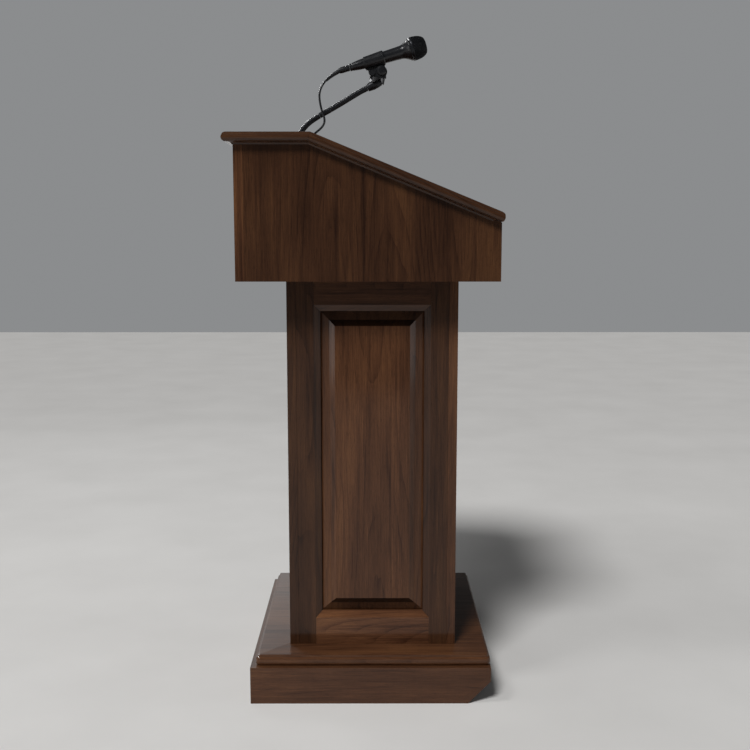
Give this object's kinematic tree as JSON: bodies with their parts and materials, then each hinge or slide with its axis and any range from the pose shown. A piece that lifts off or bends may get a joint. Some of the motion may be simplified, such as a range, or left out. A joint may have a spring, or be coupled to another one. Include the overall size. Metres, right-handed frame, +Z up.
{
  "type": "presentation lectern",
  "caption": "Free-standing wooden lectern: panelled column on a plinth with a transport axle, sloped desk over open storage, and a wired microphone on a gooseneck.",
  "frame": {"origin": "centre of the footprint's box, on the floor", "axes": "+X across the width, +Y towards the speaker, +Z up"},
  "size_m": [0.682, 0.5618, 1.4273],
  "materials": {
    "walnut": "satin-gloss lacquered dark walnut veneer and mouldings",
    "walnut_inside": "satin dark walnut inside faces",
    "zinc_steel": "zinc plated",
    "wheel_rubber": "matt black tyre",
    "dark_metal": "satin black plated",
    "bright_metal": "dark nickel plated insert with bright edges",
    "black_plastic": "moulded, fine grained",
    "mic_paint": "satin dark paint over die-cast metal",
    "mic_mesh": "black painted wire mesh",
    "cable_rubber": "satin cable jacket"
  },
  "bodies": {
    "desk": {"base_deck": "walnut", "cable_grommet": "cable_rubber", "column_front_panel": "walnut", "column_front_rail_bottom": "walnut", "column_front_rail_top": "walnut", "column_front_stile_far": "walnut", "column_front_stile_near": "walnut", "column_left_panel": "walnut", "column_left_rail_bottom": "walnut", "column_left_rail_top": "walnut", "column_left_stile_far": "walnut", "column_left_stile_near": "walnut", "column_rear_post_left": "walnut", "column_rear_post_right": "walnut", "column_right_panel": "walnut", "column_right_rail_bottom": "walnut", "column_right_rail_top": "walnut", "column_right_stile_far": "walnut", "column_right_stile_near": "walnut", "column_shelf": "walnut_inside", "gooseneck_flange": "dark_metal", "head_floor": "walnut_inside", "head_front": "walnut", "head_side_left": "walnut", "head_side_right": "walnut", "mic_cable_1": "cable_rubber", "moulding_front": "walnut", "moulding_left_flat": "walnut", "moulding_left_slope": "walnut", "moulding_rear": "walnut", "moulding_right_flat": "walnut", "moulding_right_slope": "walnut", "plinth_front": "walnut", "plinth_left": "walnut", "plinth_rear": "walnut", "plinth_right": "walnut", "reading_surface": "walnut", "shelf_cleat_left": "walnut_inside", "shelf_cleat_right": "walnut_inside", "top_board": "walnut", "wheel_axle": "zinc_steel", "wheel_bracket_left": "zinc_steel", "wheel_bracket_right": "zinc_steel"},
    "neck_base": {"gooseneck_base_ferrule": "dark_metal", "gooseneck_lower": "dark_metal", "mic_cable_2": "cable_rubber"},
    "neck_middle": {"gooseneck_middle": "dark_metal", "mic_cable_3": "cable_rubber"},
    "neck_tip": {"gooseneck_upper": "dark_metal", "gooseneck_tip_ferrule": "dark_metal", "clip_collar": "bright_metal", "clip_base": "black_plastic", "clip_pivot_bolt": "black_plastic", "mic_cable_4": "cable_rubber"},
    "microphone": {"mic_holder": "black_plastic", "mic_body": "mic_paint", "mic_grille": "mic_mesh", "cable_plug": "black_plastic"},
    "wheel_left": {"wheel_left": "wheel_rubber"},
    "wheel_right": {"wheel_right": "wheel_rubber"}
  },
  "joints": [
    {"name": "neck_turn", "type": "hinge", "parent": "desk", "child": "neck_base", "pos_m": [0, -0.1472, 1.2], "axis": [0, 0, 1], "range_deg": [-35, 35], "deforming": ["mic_cable_1", "mic_cable_2"]},
    {"name": "neck_bend_lower", "type": "hinge", "parent": "neck_base", "child": "neck_middle", "pos_m": [0, -0.131, 1.235], "axis": [1, 0, 0], "range_deg": [-20, 30], "deforming": ["gooseneck_lower", "mic_cable_3"]},
    {"name": "neck_bend_upper", "type": "hinge", "parent": "neck_middle", "child": "neck_tip", "pos_m": [0, -0.038, 1.2914], "axis": [1, 0, 0], "range_deg": [-25, 20], "deforming": ["gooseneck_upper", "mic_cable_4"]},
    {"name": "mic_tilt", "type": "hinge", "parent": "neck_tip", "child": "microphone", "pos_m": [0, 0.0367, 1.3525], "axis": [1, 0, 0], "range_deg": [-50, 12]},
    {"name": "wheel_left_roll", "type": "hinge", "parent": "desk", "child": "wheel_left", "pos_m": [-0.262, 0.2178, 0.026], "axis": [1, 0, 0], "continuous": true},
    {"name": "wheel_right_roll", "type": "hinge", "parent": "desk", "child": "wheel_right", "pos_m": [0.262, 0.2178, 0.026], "axis": [1, 0, 0], "continuous": true}
  ]
}
